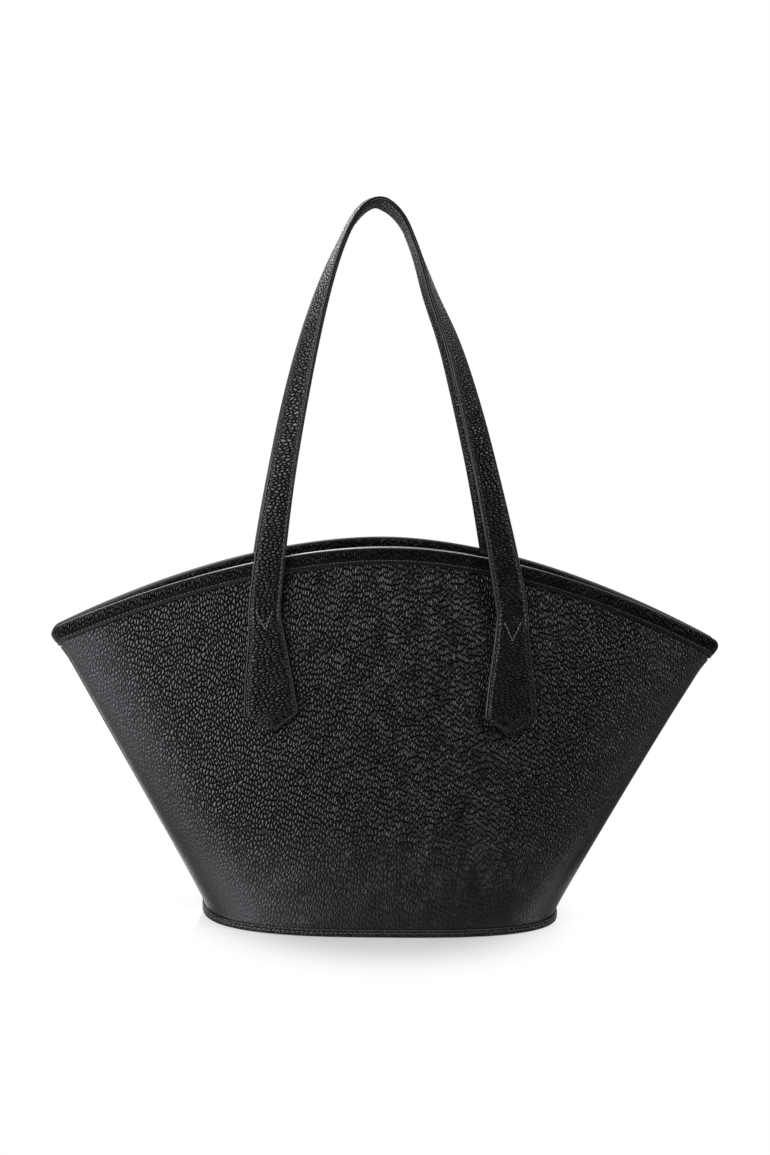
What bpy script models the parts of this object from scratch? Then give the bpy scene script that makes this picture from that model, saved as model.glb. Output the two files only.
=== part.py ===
"""A fan shaped tote bag in pebbled leather, built as the pieces it is sewn from.

Run it with blender --background --python part.py, or from Blender's text editor. Units are metres, +Z is up,
the origin is the middle of the base on the surface that the bag stands on, and the front faces -Y.
"""

import math

import bmesh
import bpy
from mathutils import Matrix, Vector

# Outer faces of the leather body
BASE_LENGTH = 0.2535
BASE_DEPTH = 0.1330
RIM_LENGTH = 0.481
MOUTH_DEPTH = 0.0549
RIM_HEIGHT = 0.2682
RIM_END_HEIGHT = 0.2014
PINCH_DEPTH = 0.0106
SIDE_SEAM_GAP = 0.0003
FOOT_HEIGHT = 0.007
BASE_POWER = 2.87
MOUTH_POWER = 1.0
ARCH_POWER = 1.79
ARCH_CROWN_SHARE = 0.08

# Layers of the wall, from the leather inwards
LEATHER_THICKNESS = 0.0013
STIFFENER_THICKNESS = 0.0008
LINING_THICKNESS = 0.0005
LAYER_GAP = 0.0003

# Binding folded over the rim
BINDING_WIDTH = 0.012
BINDING_THICKNESS = 0.0011
BINDING_FOLD_RADIUS = 0.0008

# Base
BASE_BINDING_HEIGHT = 0.005
BASE_BINDING_THICKNESS = 0.0013
BASE_LEATHER_THICKNESS = 0.0015
BASE_BOARD_THICKNESS = 0.0025
BASE_LINING_THICKNESS = 0.0006
BASE_EDGE_GAP = 0.0006
PANEL_FLOOR_GAP = 0.0004

# Piping in each side seam
PIPING_RADIUS = 0.0008

# Handles. Both lean a little to the left of the bag's middle
HANDLE_HINGE_DEPTH = 0.0447
HANDLE_HALF_WIDTH = 0.0877
HANDLE_ARCH_HEIGHT = 0.2863
HANDLE_ROOT_OFFSET = -0.004
BACK_HANDLE_OFFSET = 0.0015
HANDLE_APEX_OFFSET = -0.0206
HANDLE_APEX_GAP = 0.0016
STRAP_ROOT_WIDTH = 0.0224
STRAP_WIDTH = 0.0188
STRAP_LAYER_THICKNESS = 0.0015
STRAP_SEAT_GAP = 0.0009
HINGE_GAP = 0.0008
ARCH_RISE_POWER = 1.12
ARCH_SPREAD_POWER = 0.56
TAPER_END_SHARE = 0.36
APEX_TURN_DEGREES = 109
TWIST_POWER = 1.6

# Sewn tabs that carry the handles
TAB_LENGTH = 0.0855
TAB_FOOT_HALF_WIDTH = 0.0844
TAB_WIDTH = 0.038
TAB_THICKNESS = 0.0024
TAB_TIP_WIDTH = 0.003
TAB_SQUARE_SHARE = 0.25
TAB_ROW_SHARES = (0.0, 0.14, 0.28, 0.42, 0.56, 0.70, 0.86, 0.93, 1.0)
TAB_FLARE_SHARES = (0.0, 0.05, 0.18, 0.38, 0.60, 0.80, 1.0)

# Magnetic snap
SNAP_RIM_DEPTH = 0.030
SNAP_RADIUS = 0.009
SNAP_THICKNESS = 0.0022
SNAP_SOCKET_RADIUS = 0.0031
SNAP_SOCKET_DEPTH = 0.0014
SNAP_STUD_RADIUS = 0.0026
SNAP_STUD_LENGTH = 0.0028
SNAP_EDGE_RADIUS = 0.0005

# Fineness of the lofts
WALL_COLUMNS = 30
WALL_ROWS = 5
BASE_POINTS = 56
STRAP_STATIONS = 52
STATION_CROWD_POWER = 1.4
PATH_SAMPLES = 600
SNAP_STEPS = 28
TAB_COLUMNS = 4
PIPING_BEVEL_STEPS = 2
WALL_SEARCH_STEPS = 40
SHARP_DEGREES = 35
MERGE_DISTANCE = 0.00001

FRONT, BACK = -1, 1
LEFT, RIGHT = -1, 1

STIFFENER_INSET = LEATHER_THICKNESS + LAYER_GAP
LINING_INSET = STIFFENER_INSET + STIFFENER_THICKNESS + LAYER_GAP
BINDING_INSET = LINING_INSET + LINING_THICKNESS + LAYER_GAP
WALL_TOP_DROP = BINDING_THICKNESS + LAYER_GAP
STRAP_THICKNESS = 2 * STRAP_LAYER_THICKNESS + LAYER_GAP
HANDLE_HINGE_HEIGHT = RIM_HEIGHT - HANDLE_HINGE_DEPTH


def clear_scene():
    """Removes what the startup scene holds."""
    for obj in list(bpy.data.objects):
        bpy.data.objects.remove(obj)


def new_collection(name):
    collection = bpy.data.collections.new(name)
    bpy.context.scene.collection.children.link(collection)
    return collection


def new_material(name, colour, roughness, metallic=0.0):
    """A Principled BSDF with one colour, which is what the solids are told apart by."""
    material = bpy.data.materials.new(name)
    material.use_nodes = True
    shader = material.node_tree.nodes["Principled BSDF"]
    shader.inputs["Base Color"].default_value = (*colour, 1.0)
    shader.inputs["Roughness"].default_value = roughness
    shader.inputs["Metallic"].default_value = metallic
    return material


def mix(low, high, share):
    return low + (high - low) * share


def smooth_step(low, high, value):
    share = min(1.0, max(0.0, (value - low) / (high - low)))
    return share * share * (3 - 2 * share)


def arch_height(x):
    """Height of the rim above the floor, which falls from the middle to both side seams."""
    crown = ARCH_CROWN_SHARE
    share = x / (RIM_LENGTH / 2)
    fall = math.hypot(share, crown) ** ARCH_POWER - crown**ARCH_POWER
    full = math.hypot(1.0, crown) ** ARCH_POWER - crown**ARCH_POWER
    return mix(RIM_HEIGHT, RIM_END_HEIGHT, fall / full)


def level_at_height(turn, height):
    return height / arch_height(math.sin(math.pi / 2 * turn) * RIM_LENGTH / 2)


def reach_at(turn, level):
    """How far the wall has gone from the base outline to the rim outline. The foot stands upright."""
    foot = level_at_height(turn, FOOT_HEIGHT)
    return max(0.0, (level - foot) / (1 - foot))


def superellipse(share, power):
    """The depth of a superellipse, as a share, at this share of its length."""
    return (1 - min(1.0, abs(share)) ** power) ** (1 / power)


def round_end(from_tip, radius):
    """A quarter circle of that radius at the tip of the outline, then 1."""
    if from_tip >= radius:
        return 1.0
    return math.sqrt(max(0.0, 1 - (1 - from_tip / radius) ** 2))


def wall_point(turn, level, side, inset=0.0):
    """A point of the body wall.

    turn runs from -1 at the left side seam to 1 at the right one, level from 0 at the floor to 1 at the rim.
    inset is how far the point lies inside the leather's outer face, measured level.
    """
    share = math.sin(math.pi / 2 * turn)
    reach = reach_at(turn, level)
    half_length = mix(BASE_LENGTH, RIM_LENGTH, reach) / 2 - inset
    pinch = PINCH_DEPTH / 2 - inset
    base_depth = (BASE_DEPTH / 2 - inset) * superellipse(share, BASE_POWER)
    mouth_depth = (MOUTH_DEPTH - PINCH_DEPTH) / 2 * (1 - share * share) ** MOUTH_POWER
    mouth_depth += pinch * round_end(half_length * (1 - abs(share)), pinch)
    depth = mix(base_depth, mouth_depth, reach) + SIDE_SEAM_GAP / 2
    height = level * arch_height(share * RIM_LENGTH / 2)
    return Vector((share * half_length, side * depth, height))


def level_below_rim(turn, drop):
    """The level that lies drop below the rim, measured along the wall."""
    slant = (wall_point(turn, 1.0, FRONT) - wall_point(turn, 0.0, FRONT)).length
    return 1 - drop / slant


def wall_at(x, z, side, inset=0.0):
    """The point of the wall that lies at this x and this height."""
    turn = 0.0
    for _ in range(WALL_SEARCH_STEPS):
        level = level_at_height(turn, z)
        half_length = mix(BASE_LENGTH, RIM_LENGTH, reach_at(turn, level)) / 2 - inset
        turn = math.asin(max(-1.0, min(1.0, x / half_length))) / (math.pi / 2)
    return wall_point(turn, level_at_height(turn, z), side, inset)


def evenly(first, last, count):
    return [mix(first, last, i / count) for i in range(count + 1)]


def add_object(name, mesh, collection, material, origin=Vector()):
    mesh.materials.append(material)
    obj = bpy.data.objects.new(name, mesh)
    obj.location = origin
    collection.objects.link(obj)
    return obj


def skin(name, loops, collection, material, is_ring=False, origin=Vector()):
    """A solid lofted through closed loops of points, capped at both ends unless it runs round as a ring.

    A loop goes out along one face and back along the other. Quads on the way back start a corner later, so
    that both faces, and the sheets that lie against them, are split along the same diagonals.
    """
    mesh = bpy.data.meshes.new(name)
    shape = bmesh.new()
    rows = [[shape.verts.new(point - origin) for point in loop] for loop in loops]
    pairs = list(zip(rows, rows[1:]))
    if is_ring:
        pairs.append((rows[-1], rows[0]))
    for row, following in pairs:
        for i in range(len(row)):
            j = (i + 1) % len(row)
            corners = (row[i], row[j], following[j], following[i])
            if i >= len(row) // 2:
                corners = corners[1:] + corners[:1]
            shape.faces.new(corners)
    if not is_ring:
        shape.faces.new(rows[0])
        shape.faces.new(rows[-1])
    bmesh.ops.recalc_face_normals(shape, faces=shape.faces)
    shape.to_mesh(mesh)
    shape.free()
    mesh.shade_smooth()
    mesh.set_sharp_from_angle(angle=math.radians(SHARP_DEGREES))
    return add_object(name, mesh, collection, material, origin)


def wall_layer(name, side, inset, thickness, bottom, collection, material):
    """One sheet of the wall, from side seam to side seam, and from this height up to the rim's fold."""
    loops = []
    for turn in evenly(-1.0, 1.0, WALL_COLUMNS):
        foot = level_at_height(turn, FOOT_HEIGHT)
        band = level_below_rim(turn, BINDING_WIDTH)
        top = level_below_rim(turn, WALL_TOP_DROP)
        levels = [level_at_height(turn, bottom), *evenly(foot, band, WALL_ROWS), top]
        outside = [wall_point(turn, level, side, inset) for level in levels]
        inside = [wall_point(turn, level, side, inset + thickness) for level in reversed(levels)]
        loops.append(outside + inside)
    return skin(name, loops, collection, material)


def rim_binding(name, side, collection, material):
    """Leather strip folded over the rim: a leg outside, a leg inside and a rounded fold between them."""
    outer = -LAYER_GAP - BINDING_THICKNESS
    inner = BINDING_INSET + BINDING_THICKNESS
    outer_path = (
        (outer, BINDING_WIDTH),
        (outer, BINDING_FOLD_RADIUS),
        (outer + BINDING_FOLD_RADIUS, 0.0),
        (inner - BINDING_FOLD_RADIUS, 0.0),
        (inner, BINDING_FOLD_RADIUS),
        (inner, BINDING_WIDTH),
    )
    inner_path = (
        (BINDING_INSET, BINDING_WIDTH),
        (BINDING_INSET, BINDING_THICKNESS),
        (-LAYER_GAP, BINDING_THICKNESS),
        (-LAYER_GAP, BINDING_WIDTH),
    )
    loops = []
    for turn in evenly(-1.0, 1.0, WALL_COLUMNS):
        section = outer_path + inner_path
        loops.append([wall_point(turn, level_below_rim(turn, drop), side, inset) for inset, drop in section])
    return skin(name, loops, collection, material)


def base_outline(inset):
    """Points round the foot, this far inside the leather's outer face."""
    half = BASE_POINTS // 2
    front = [wall_point(turn, 0.0, FRONT, inset) for turn in evenly(-1.0, 1.0, half)]
    back = [wall_point(turn, 0.0, BACK, inset) for turn in evenly(1.0, -1.0, half)]
    return front[:-1] + back[:-1]


def base_plate(name, inset, bottom, thickness, collection, material):
    """A flat plate with the outline of the base, filled from a curve."""
    curve = bpy.data.curves.new(name, "CURVE")
    curve.dimensions = "2D"
    curve.fill_mode = "BOTH"
    curve.extrude = thickness / 2
    outline = base_outline(inset)
    spline = curve.splines.new("POLY")
    spline.points.add(len(outline) - 1)
    for point, place in zip(spline.points, outline):
        point.co = (place.x, place.y, 0.0, 1.0)
    spline.use_cyclic_u = True
    curve.materials.append(material)
    obj = bpy.data.objects.new(name, curve)
    obj.location = (0.0, 0.0, bottom + thickness / 2)
    collection.objects.link(obj)
    return obj


def base_binding(name, collection, material):
    """The strip sewn round the upright foot of the bag."""
    near = base_outline(-LAYER_GAP)
    far = base_outline(-LAYER_GAP - BASE_BINDING_THICKNESS)
    rise = Vector((0.0, 0.0, BASE_BINDING_HEIGHT))
    loops = [(inner, outer, outer + rise, inner + rise) for inner, outer in zip(near, far)]
    return skin(name, loops, collection, material, is_ring=True)


def side_piping(name, hand, collection, material):
    """The thin cord that closes a side seam, from the base binding up to the rim binding."""
    curve = bpy.data.curves.new(name, "CURVE")
    curve.dimensions = "3D"
    curve.bevel_depth = PIPING_RADIUS
    curve.bevel_resolution = PIPING_BEVEL_STEPS
    curve.use_fill_caps = True
    slant = math.atan2((RIM_LENGTH - BASE_LENGTH) / 2, RIM_END_HEIGHT - FOOT_HEIGHT)
    clear = (LAYER_GAP + PIPING_RADIUS) / math.cos(slant)
    low = level_at_height(hand, BASE_BINDING_HEIGHT + LAYER_GAP)
    foot = level_at_height(hand, FOOT_HEIGHT)
    high = level_below_rim(hand, BINDING_WIDTH + LAYER_GAP + PIPING_RADIUS)
    places = [wall_point(hand, level, FRONT, -clear) for level in (low, foot, high)]
    spline = curve.splines.new("POLY")
    spline.points.add(len(places) - 1)
    for point, place in zip(spline.points, places):
        point.co = (place.x, 0.0, place.z, 1.0)
    curve.materials.append(material)
    obj = bpy.data.objects.new(name, curve)
    collection.objects.link(obj)
    return obj


def root_middle(side):
    """Where the middle of a handle's two roots lies. The back handle is sewn on a little further right."""
    return HANDLE_ROOT_OFFSET + (BACK_HANDLE_OFFSET if side == BACK else 0.0)


def strap_root(side, hand):
    """How a strap stands on the wall at the hinge line: its middle's depth, and its turn about the upright.

    The wall curves in plan, so the strap turns with it. Its inner edge stands further out than its outer one.
    """
    half = STRAP_ROOT_WIDTH / 2
    middle_x = root_middle(side) + hand * HANDLE_HALF_WIDTH
    inner, middle, outer = (
        abs(wall_at(middle_x + hand * across, HANDLE_HINGE_HEIGHT, side).y) for across in (-half, 0.0, half)
    )
    turn = math.atan2(inner - outer, STRAP_ROOT_WIDTH)
    bulge = middle - (inner + outer) / 2
    depth = (inner + outer) / 2 + (bulge + STRAP_SEAT_GAP + STRAP_THICKNESS / 2) / math.cos(turn)
    return depth, turn


def hinge_origin(side):
    """A point of the handle's hinge line, which runs along the outer face of the straps' inner edges."""
    reaches = []
    for hand in (LEFT, RIGHT):
        depth, turn = strap_root(side, hand)
        reaches.append(depth + STRAP_ROOT_WIDTH / 2 * math.sin(turn) + STRAP_THICKNESS / 2 * math.cos(turn))
    return Vector((0.0, side * max(reaches), HANDLE_HINGE_HEIGHT))


def handle_path(side):
    """Stations along one handle: the place, the way on, and the share of the way from root to top.

    They lie closest at the top, where the bend is tightest. Both ends are cut level, along the hinge line.
    """
    apex = Vector((HANDLE_APEX_OFFSET, (HANDLE_APEX_GAP + STRAP_WIDTH) / 2, HANDLE_ARCH_HEIGHT))
    root_depths = {hand: strap_root(side, hand)[0] for hand in (LEFT, RIGHT)}
    fine = []
    for i in range(PATH_SAMPLES + 1):
        angle = math.pi * i / PATH_SAMPLES
        hand = LEFT if 2 * i < PATH_SAMPLES else RIGHT
        rise = math.sin(angle) ** (1 / ARCH_RISE_POWER)
        spread = HANDLE_HALF_WIDTH * max(0.0, 1 - rise**ARCH_RISE_POWER) ** ARCH_SPREAD_POWER
        across = mix(root_middle(side), apex.x, rise) + hand * spread
        depth = mix(root_depths[hand], apex.y, rise)
        height = HANDLE_HINGE_HEIGHT + HINGE_GAP / 2 + rise * apex.z
        fine.append(Vector((across, side * depth, height)))
    walked = [0.0]
    for here, there in zip(fine, fine[1:]):
        walked.append(walked[-1] + (there - here).length)
    stations = []
    for from_top in evenly(-1.0, 1.0, STRAP_STATIONS):
        goal = walked[-1] * (1 + math.copysign(abs(from_top) ** STATION_CROWD_POWER, from_top)) / 2
        i = max(0, min(len(fine) - 2, sum(1 for way in walked if way < goal) - 1))
        part = (goal - walked[i]) / (walked[i + 1] - walked[i])
        way_on = (fine[i + 1] - fine[i]).normalized()
        if abs(from_top) == 1.0:
            way_on = Vector((0.0, 0.0, math.copysign(1.0, way_on.z)))
        stations.append((fine[i].lerp(fine[i + 1], part), way_on, 1 - abs(2 * goal / walked[-1] - 1)))
    return stations


def strap(name, side, depth, collection, material):
    """One layer of a handle, with its origin on the hinge line.

    depth is how far the layer starts behind the handle's outer face.
    """
    root_turns = {hand: strap_root(side, hand)[1] for hand in (LEFT, RIGHT)}
    loops = []
    for core, way_on, from_root in handle_path(side):
        outwards = Vector((0.0, side, 0.0))
        outwards = (outwards - way_on * way_on.dot(outwards)).normalized()
        inwards = way_on.cross(outwards) * -side
        root_turn = root_turns[RIGHT if core.x > HANDLE_APEX_OFFSET else LEFT]
        turn = mix(root_turn, math.radians(APEX_TURN_DEGREES), from_root**TWIST_POWER)
        wide = inwards * math.cos(turn) + outwards * math.sin(turn)
        face = outwards * math.cos(turn) - inwards * math.sin(turn)
        half = mix(STRAP_ROOT_WIDTH, STRAP_WIDTH, smooth_step(0.0, TAPER_END_SHARE, from_root)) / 2
        near = STRAP_THICKNESS / 2 - depth
        far = near - STRAP_LAYER_THICKNESS
        corners = ((-half, near), (half, near), (half, far), (-half, far))
        loops.append([core + wide * w + face * t for w, t in corners])
    return skin(name, loops, collection, material, origin=hinge_origin(side))


def tab_half_width(share):
    """Half the tab's width at this share of its length below the hinge: a flare, then a point."""
    widest = TAB_ROW_SHARES[len(TAB_FLARE_SHARES) - 1]
    if share >= widest:
        return mix(TAB_WIDTH, TAB_TIP_WIDTH, (share - widest) / (1 - widest)) / 2
    for i in range(len(TAB_FLARE_SHARES) - 1):
        low, high = TAB_ROW_SHARES[i], TAB_ROW_SHARES[i + 1]
        if share <= high:
            flare = mix(TAB_FLARE_SHARES[i], TAB_FLARE_SHARES[i + 1], (share - low) / (high - low))
            return mix(STRAP_ROOT_WIDTH, TAB_WIDTH, flare) / 2
    return TAB_WIDTH / 2


def tab(name, side, hand, collection, material):
    """The pointed end of a handle, sewn flat on the panel below the hinge line."""
    top = root_middle(side) + hand * HANDLE_HALF_WIDTH
    foot = hand * TAB_FOOT_HALF_WIDTH
    tilt = math.atan2(foot - top, TAB_LENGTH)
    loops = []
    for row_share in TAB_ROW_SHARES:
        half = tab_half_width(row_share)
        row_tilt = tilt * smooth_step(0.0, TAB_SQUARE_SHARE, row_share)
        places = []
        for across in evenly(-half, half, TAB_COLUMNS):
            x = mix(top, foot, row_share) + across * math.cos(row_tilt)
            down = HINGE_GAP / 2 + row_share * TAB_LENGTH - across * math.sin(row_tilt)
            places.append((x, HANDLE_HINGE_HEIGHT - down))
        near = [wall_at(x, z, side, -LAYER_GAP) for x, z in places]
        far = [wall_at(x, z, side, -LAYER_GAP - TAB_THICKNESS) for x, z in reversed(places)]
        loops.append(near + far)
    return skin(name, loops, collection, material)


def turned(name, profile, collection, material):
    """A round piece turned about its own Z from a profile that runs down its outer side, top to bottom."""
    mesh = bpy.data.meshes.new(name)
    shape = bmesh.new()
    verts = [shape.verts.new((radius, 0.0, height)) for radius, height in profile]
    for here, there in zip(verts, verts[1:]):
        shape.edges.new((here, there))
    shape.to_mesh(mesh)
    shape.free()
    obj = add_object(name, mesh, collection, material)
    screw = obj.modifiers.new("turn", "SCREW")
    screw.axis = "Z"
    screw.steps = SNAP_STEPS
    screw.render_steps = SNAP_STEPS
    screw.use_merge_vertices = True
    screw.merge_threshold = MERGE_DISTANCE
    return obj


def snap_half(name, side, profile, collection, material):
    """One half of the magnetic snap, standing square on the lining."""
    height = RIM_HEIGHT - SNAP_RIM_DEPTH
    seat = wall_at(0.0, height, side, LINING_INSET + LINING_THICKNESS)
    above = wall_at(0.0, height + SNAP_RADIUS, side, LINING_INSET + LINING_THICKNESS)
    up = (above - seat).normalized()
    inwards = Vector((0.0, -side * up.z, side * up.y))
    obj = turned(name, profile, collection, material)
    turn = Matrix((up.cross(inwards), up, inwards)).transposed()
    obj.matrix_world = Matrix.Translation(seat + inwards * LAYER_GAP) @ turn.to_4x4()
    return obj


def snap_socket_profile():
    """A disc with a round recess that takes the stud."""
    top = SNAP_THICKNESS
    floor = SNAP_THICKNESS - SNAP_SOCKET_DEPTH
    edge = SNAP_EDGE_RADIUS
    return (
        (0.0, floor),
        (SNAP_SOCKET_RADIUS, floor),
        (SNAP_SOCKET_RADIUS, top),
        (SNAP_RADIUS - edge, top),
        (SNAP_RADIUS, top - edge),
        (SNAP_RADIUS, 0.0),
        (0.0, 0.0),
    )


def snap_stud_profile():
    """A disc with a stud in its middle."""
    top = SNAP_THICKNESS
    tip = SNAP_THICKNESS + SNAP_STUD_LENGTH
    edge = SNAP_EDGE_RADIUS
    return (
        (0.0, tip),
        (SNAP_STUD_RADIUS - edge, tip),
        (SNAP_STUD_RADIUS, tip - edge),
        (SNAP_STUD_RADIUS, top),
        (SNAP_RADIUS - edge, top),
        (SNAP_RADIUS, top - edge),
        (SNAP_RADIUS, 0.0),
        (0.0, 0.0),
    )


def main():
    clear_scene()
    bag = new_collection("tote_bag")
    leather = new_material("black_pebbled_leather", (0.006, 0.006, 0.007), 0.45)
    smooth = new_material("black_smooth_leather", (0.008, 0.008, 0.009), 0.40)
    lining = new_material("black_twill_lining", (0.015, 0.014, 0.018), 0.85)
    board = new_material("grey_fibre_board", (0.200, 0.190, 0.180), 0.90)
    metal = new_material("gunmetal_plate", (0.300, 0.300, 0.310), 0.30, 1.0)

    base_board_bottom = BASE_LEATHER_THICKNESS + LAYER_GAP
    base_lining_bottom = base_board_bottom + BASE_BOARD_THICKNESS + LAYER_GAP
    lining_bottom = base_lining_bottom + BASE_LINING_THICKNESS + LAYER_GAP
    for side, word in ((FRONT, "front"), (BACK, "back")):
        wall_layer(f"{word}_panel", side, 0.0, LEATHER_THICKNESS, PANEL_FLOOR_GAP, bag, leather)
        wall_layer(
            f"{word}_stiffener", side, STIFFENER_INSET, STIFFENER_THICKNESS, base_board_bottom, bag, board,
        )
        wall_layer(f"{word}_lining", side, LINING_INSET, LINING_THICKNESS, lining_bottom, bag, lining)
        rim_binding(f"{word}_rim_binding", side, bag, leather)
        strap(f"{word}_handle_strap", side, 0.0, bag, leather)
        strap(f"{word}_handle_backing", side, STRAP_LAYER_THICKNESS + LAYER_GAP, bag, leather)
        for hand, hand_word in ((LEFT, "left"), (RIGHT, "right")):
            tab(f"{word}_{hand_word}_tab", side, hand, bag, leather)

    panel_foot = LEATHER_THICKNESS + BASE_EDGE_GAP
    stiffener_foot = STIFFENER_INSET + STIFFENER_THICKNESS + BASE_EDGE_GAP
    base_plate("base_panel", panel_foot, 0.0, BASE_LEATHER_THICKNESS, bag, leather)
    base_plate("base_board", stiffener_foot, base_board_bottom, BASE_BOARD_THICKNESS, bag, board)
    base_plate("base_lining", stiffener_foot, base_lining_bottom, BASE_LINING_THICKNESS, bag, lining)
    base_binding("base_binding", bag, leather)
    side_piping("left_side_piping", LEFT, bag, smooth)
    side_piping("right_side_piping", RIGHT, bag, smooth)
    snap_half("snap_socket", FRONT, snap_socket_profile(), bag, metal)
    snap_half("snap_stud", BACK, snap_stud_profile(), bag, metal)


main()
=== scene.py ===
"""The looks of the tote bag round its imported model: leather, paint, thread, lining, light and camera.

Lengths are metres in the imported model's own frame: +Z up, the front panel faces -Y, the floor is at zero.
"""

import math
import random

import bmesh
import bpy
from mathutils import Matrix, Vector


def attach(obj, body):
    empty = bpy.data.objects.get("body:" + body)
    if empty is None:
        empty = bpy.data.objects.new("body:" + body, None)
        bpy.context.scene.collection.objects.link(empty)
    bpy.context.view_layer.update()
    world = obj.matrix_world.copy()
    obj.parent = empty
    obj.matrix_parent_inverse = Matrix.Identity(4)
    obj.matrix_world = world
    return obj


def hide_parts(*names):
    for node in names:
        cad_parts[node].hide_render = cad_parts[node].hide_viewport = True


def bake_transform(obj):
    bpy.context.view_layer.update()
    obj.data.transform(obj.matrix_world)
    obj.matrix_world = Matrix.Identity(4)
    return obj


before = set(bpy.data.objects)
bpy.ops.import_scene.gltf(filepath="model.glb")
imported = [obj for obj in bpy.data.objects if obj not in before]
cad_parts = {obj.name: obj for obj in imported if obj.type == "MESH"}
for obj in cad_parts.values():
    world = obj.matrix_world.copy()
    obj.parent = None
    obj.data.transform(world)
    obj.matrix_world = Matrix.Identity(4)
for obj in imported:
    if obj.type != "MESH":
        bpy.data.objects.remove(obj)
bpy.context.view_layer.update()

FRONT, BACK = -1, 1
LEFT, RIGHT = -1, 1

# Body, as the part's source has it
BASE_LENGTH = 0.2535
BASE_DEPTH = 0.133
RIM_LENGTH = 0.481
MOUTH_DEPTH = 0.0549
RIM_HEIGHT = 0.2682
RIM_END_HEIGHT = 0.2014
PINCH_DEPTH = 0.0106
SIDE_SEAM_GAP = 0.0003
FOOT_HEIGHT = 0.007
BASE_POWER = 2.87
ARCH_POWER = 1.79
ARCH_CROWN_SHARE = 0.08
LEATHER_THICKNESS = 0.0013
STIFFENER_THICKNESS = 0.0008
LINING_THICKNESS = 0.0005
LAYER_GAP = 0.0003
BINDING_WIDTH = 0.012
BINDING_THICKNESS = 0.0011
BASE_LEATHER_THICKNESS = 0.0015
BASE_BOARD_THICKNESS = 0.0025
BASE_LINING_THICKNESS = 0.0006
BASE_EDGE_GAP = 0.0006
PANEL_FLOOR_GAP = 0.0004
PIPING_RADIUS = 0.0008
STIFFENER_INSET = LEATHER_THICKNESS + LAYER_GAP
LINING_INSET = STIFFENER_INSET + STIFFENER_THICKNESS + LAYER_GAP
WALL_TOP_DROP = BINDING_THICKNESS + LAYER_GAP

# Handles, as the part's source has them
HANDLE_HINGE_HEIGHT = 0.2235
HANDLE_HALF_WIDTH = 0.0877
HANDLE_ARCH_HEIGHT = 0.2863
HANDLE_ROOT_OFFSET = -0.004
BACK_HANDLE_OFFSET = 0.0015
HANDLE_APEX_OFFSET = -0.0206
HANDLE_APEX_GAP = 0.0016
STRAP_ROOT_WIDTH = 0.0224
STRAP_WIDTH = 0.0188
STRAP_LAYER_THICKNESS = 0.0015
STRAP_SEAT_GAP = 0.0009
HINGE_GAP = 0.0008
ARCH_RISE_POWER = 1.12
ARCH_SPREAD_POWER = 0.56
TAPER_END_SHARE = 0.36
APEX_TURN_DEGREES = 109
TWIST_POWER = 1.6
STRAP_THICKNESS = 2 * STRAP_LAYER_THICKNESS + LAYER_GAP
# Where the outer layer and the backing start, from the strap's middle plane
OUTER_LAYER_START = STRAP_LAYER_THICKNESS + LAYER_GAP - STRAP_THICKNESS / 2
BACKING_START = STRAP_THICKNESS / 2 - STRAP_LAYER_THICKNESS
TAB_LENGTH = 0.0855
TAB_FOOT_HALF_WIDTH = 0.0844
TAB_WIDTH = 0.038
TAB_THICKNESS = 0.0024
TAB_TIP_WIDTH = 0.003
TAB_CORNER_SHARE = 0.86
TAB_SQUARE_SHARE = 0.25

# What the solids leave out
FOOT_SOFTNESS = 0.003
RIM_CORNER_RADIUS = 0.005
RIM_CORNER_SHARE = 0.88
TAB_RISE_LENGTH = 0.016
TAB_PADDING = 0.34
# How full the flare of a tab is, where 0 is straight
TAB_FLARE = 0.55
# The right leg of each strap bows: how far outwards, at which share of its rise, and over what share of it
RIGHT_LEG_BOWS = ((-0.0024, 0.775, 0.085), (0.0014, 0.97, 0.04))
# The share of the cord's radius that stands between its middle and the wall
PIPING_OVERHANG = 0.35
PIPING_FOOT_HEIGHT = 0.0056
# How far below the rim the snap sits
SNAP_DROP = 0.03
SNAP_RADIUS = 0.009
# Soft hollows and swells of each wall: x, z, width, height and depth, which is positive inwards
SOFT_SPOTS = (
    (-0.15, 0.12, 0.04, 0.08, 0.0009), (0.155, 0.125, 0.04, 0.08, 0.0009), (0.0, 0.11, 0.08, 0.06, 0.0006),
    (-0.06, 0.16, 0.03, 0.05, -0.0005), (0.12, 0.18, 0.022, 0.035, -0.0006),
)

# Half the length and depth of the oval on which the floor shows as a floor
FLOOR_HALF_SIZE = (0.158, 0.165)

# Where the hide is pulled flat: how much and how far from the side seams, and the same above the foot
SEAM_PULL = 0.85
SEAM_PULL_REACH = {LEFT: 0.062, RIGHT: 0.085}
FOOT_PULL = 0.75
FOOT_PULL_REACH = 0.085
# The shares of the way to a side seam between which the rim band goes smooth
BAND_SMOOTH_FROM, BAND_SMOOTH_TO = 0.9, 0.98

# Sewing
STITCH_RADIUS = 0.00036
STITCH_SIDES = 6
STITCH_LEAN = 0.1
STITCH_WOBBLE = 0.04
# A stitch from hole to hole: how far along it, its height, and its girth, both in thread radii
STITCH_SHAPE = (
    (0.0, -1.6, 0.5), (0.12, -0.3, 0.85), (0.30, 0.45, 1.0),
    (0.5, 0.6, 1.0), (0.70, 0.45, 1.0), (0.88, -0.3, 0.85),
)
STITCH_EDGE = 0.0021
# How high a strap's thread lies, as a share of the layer's thickness
STITCH_BED = 0.86
RIM_STITCH_DROP = 0.0093
RIM_STITCH_PITCH = 0.0029
RIM_STITCH_END = 0.985
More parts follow.
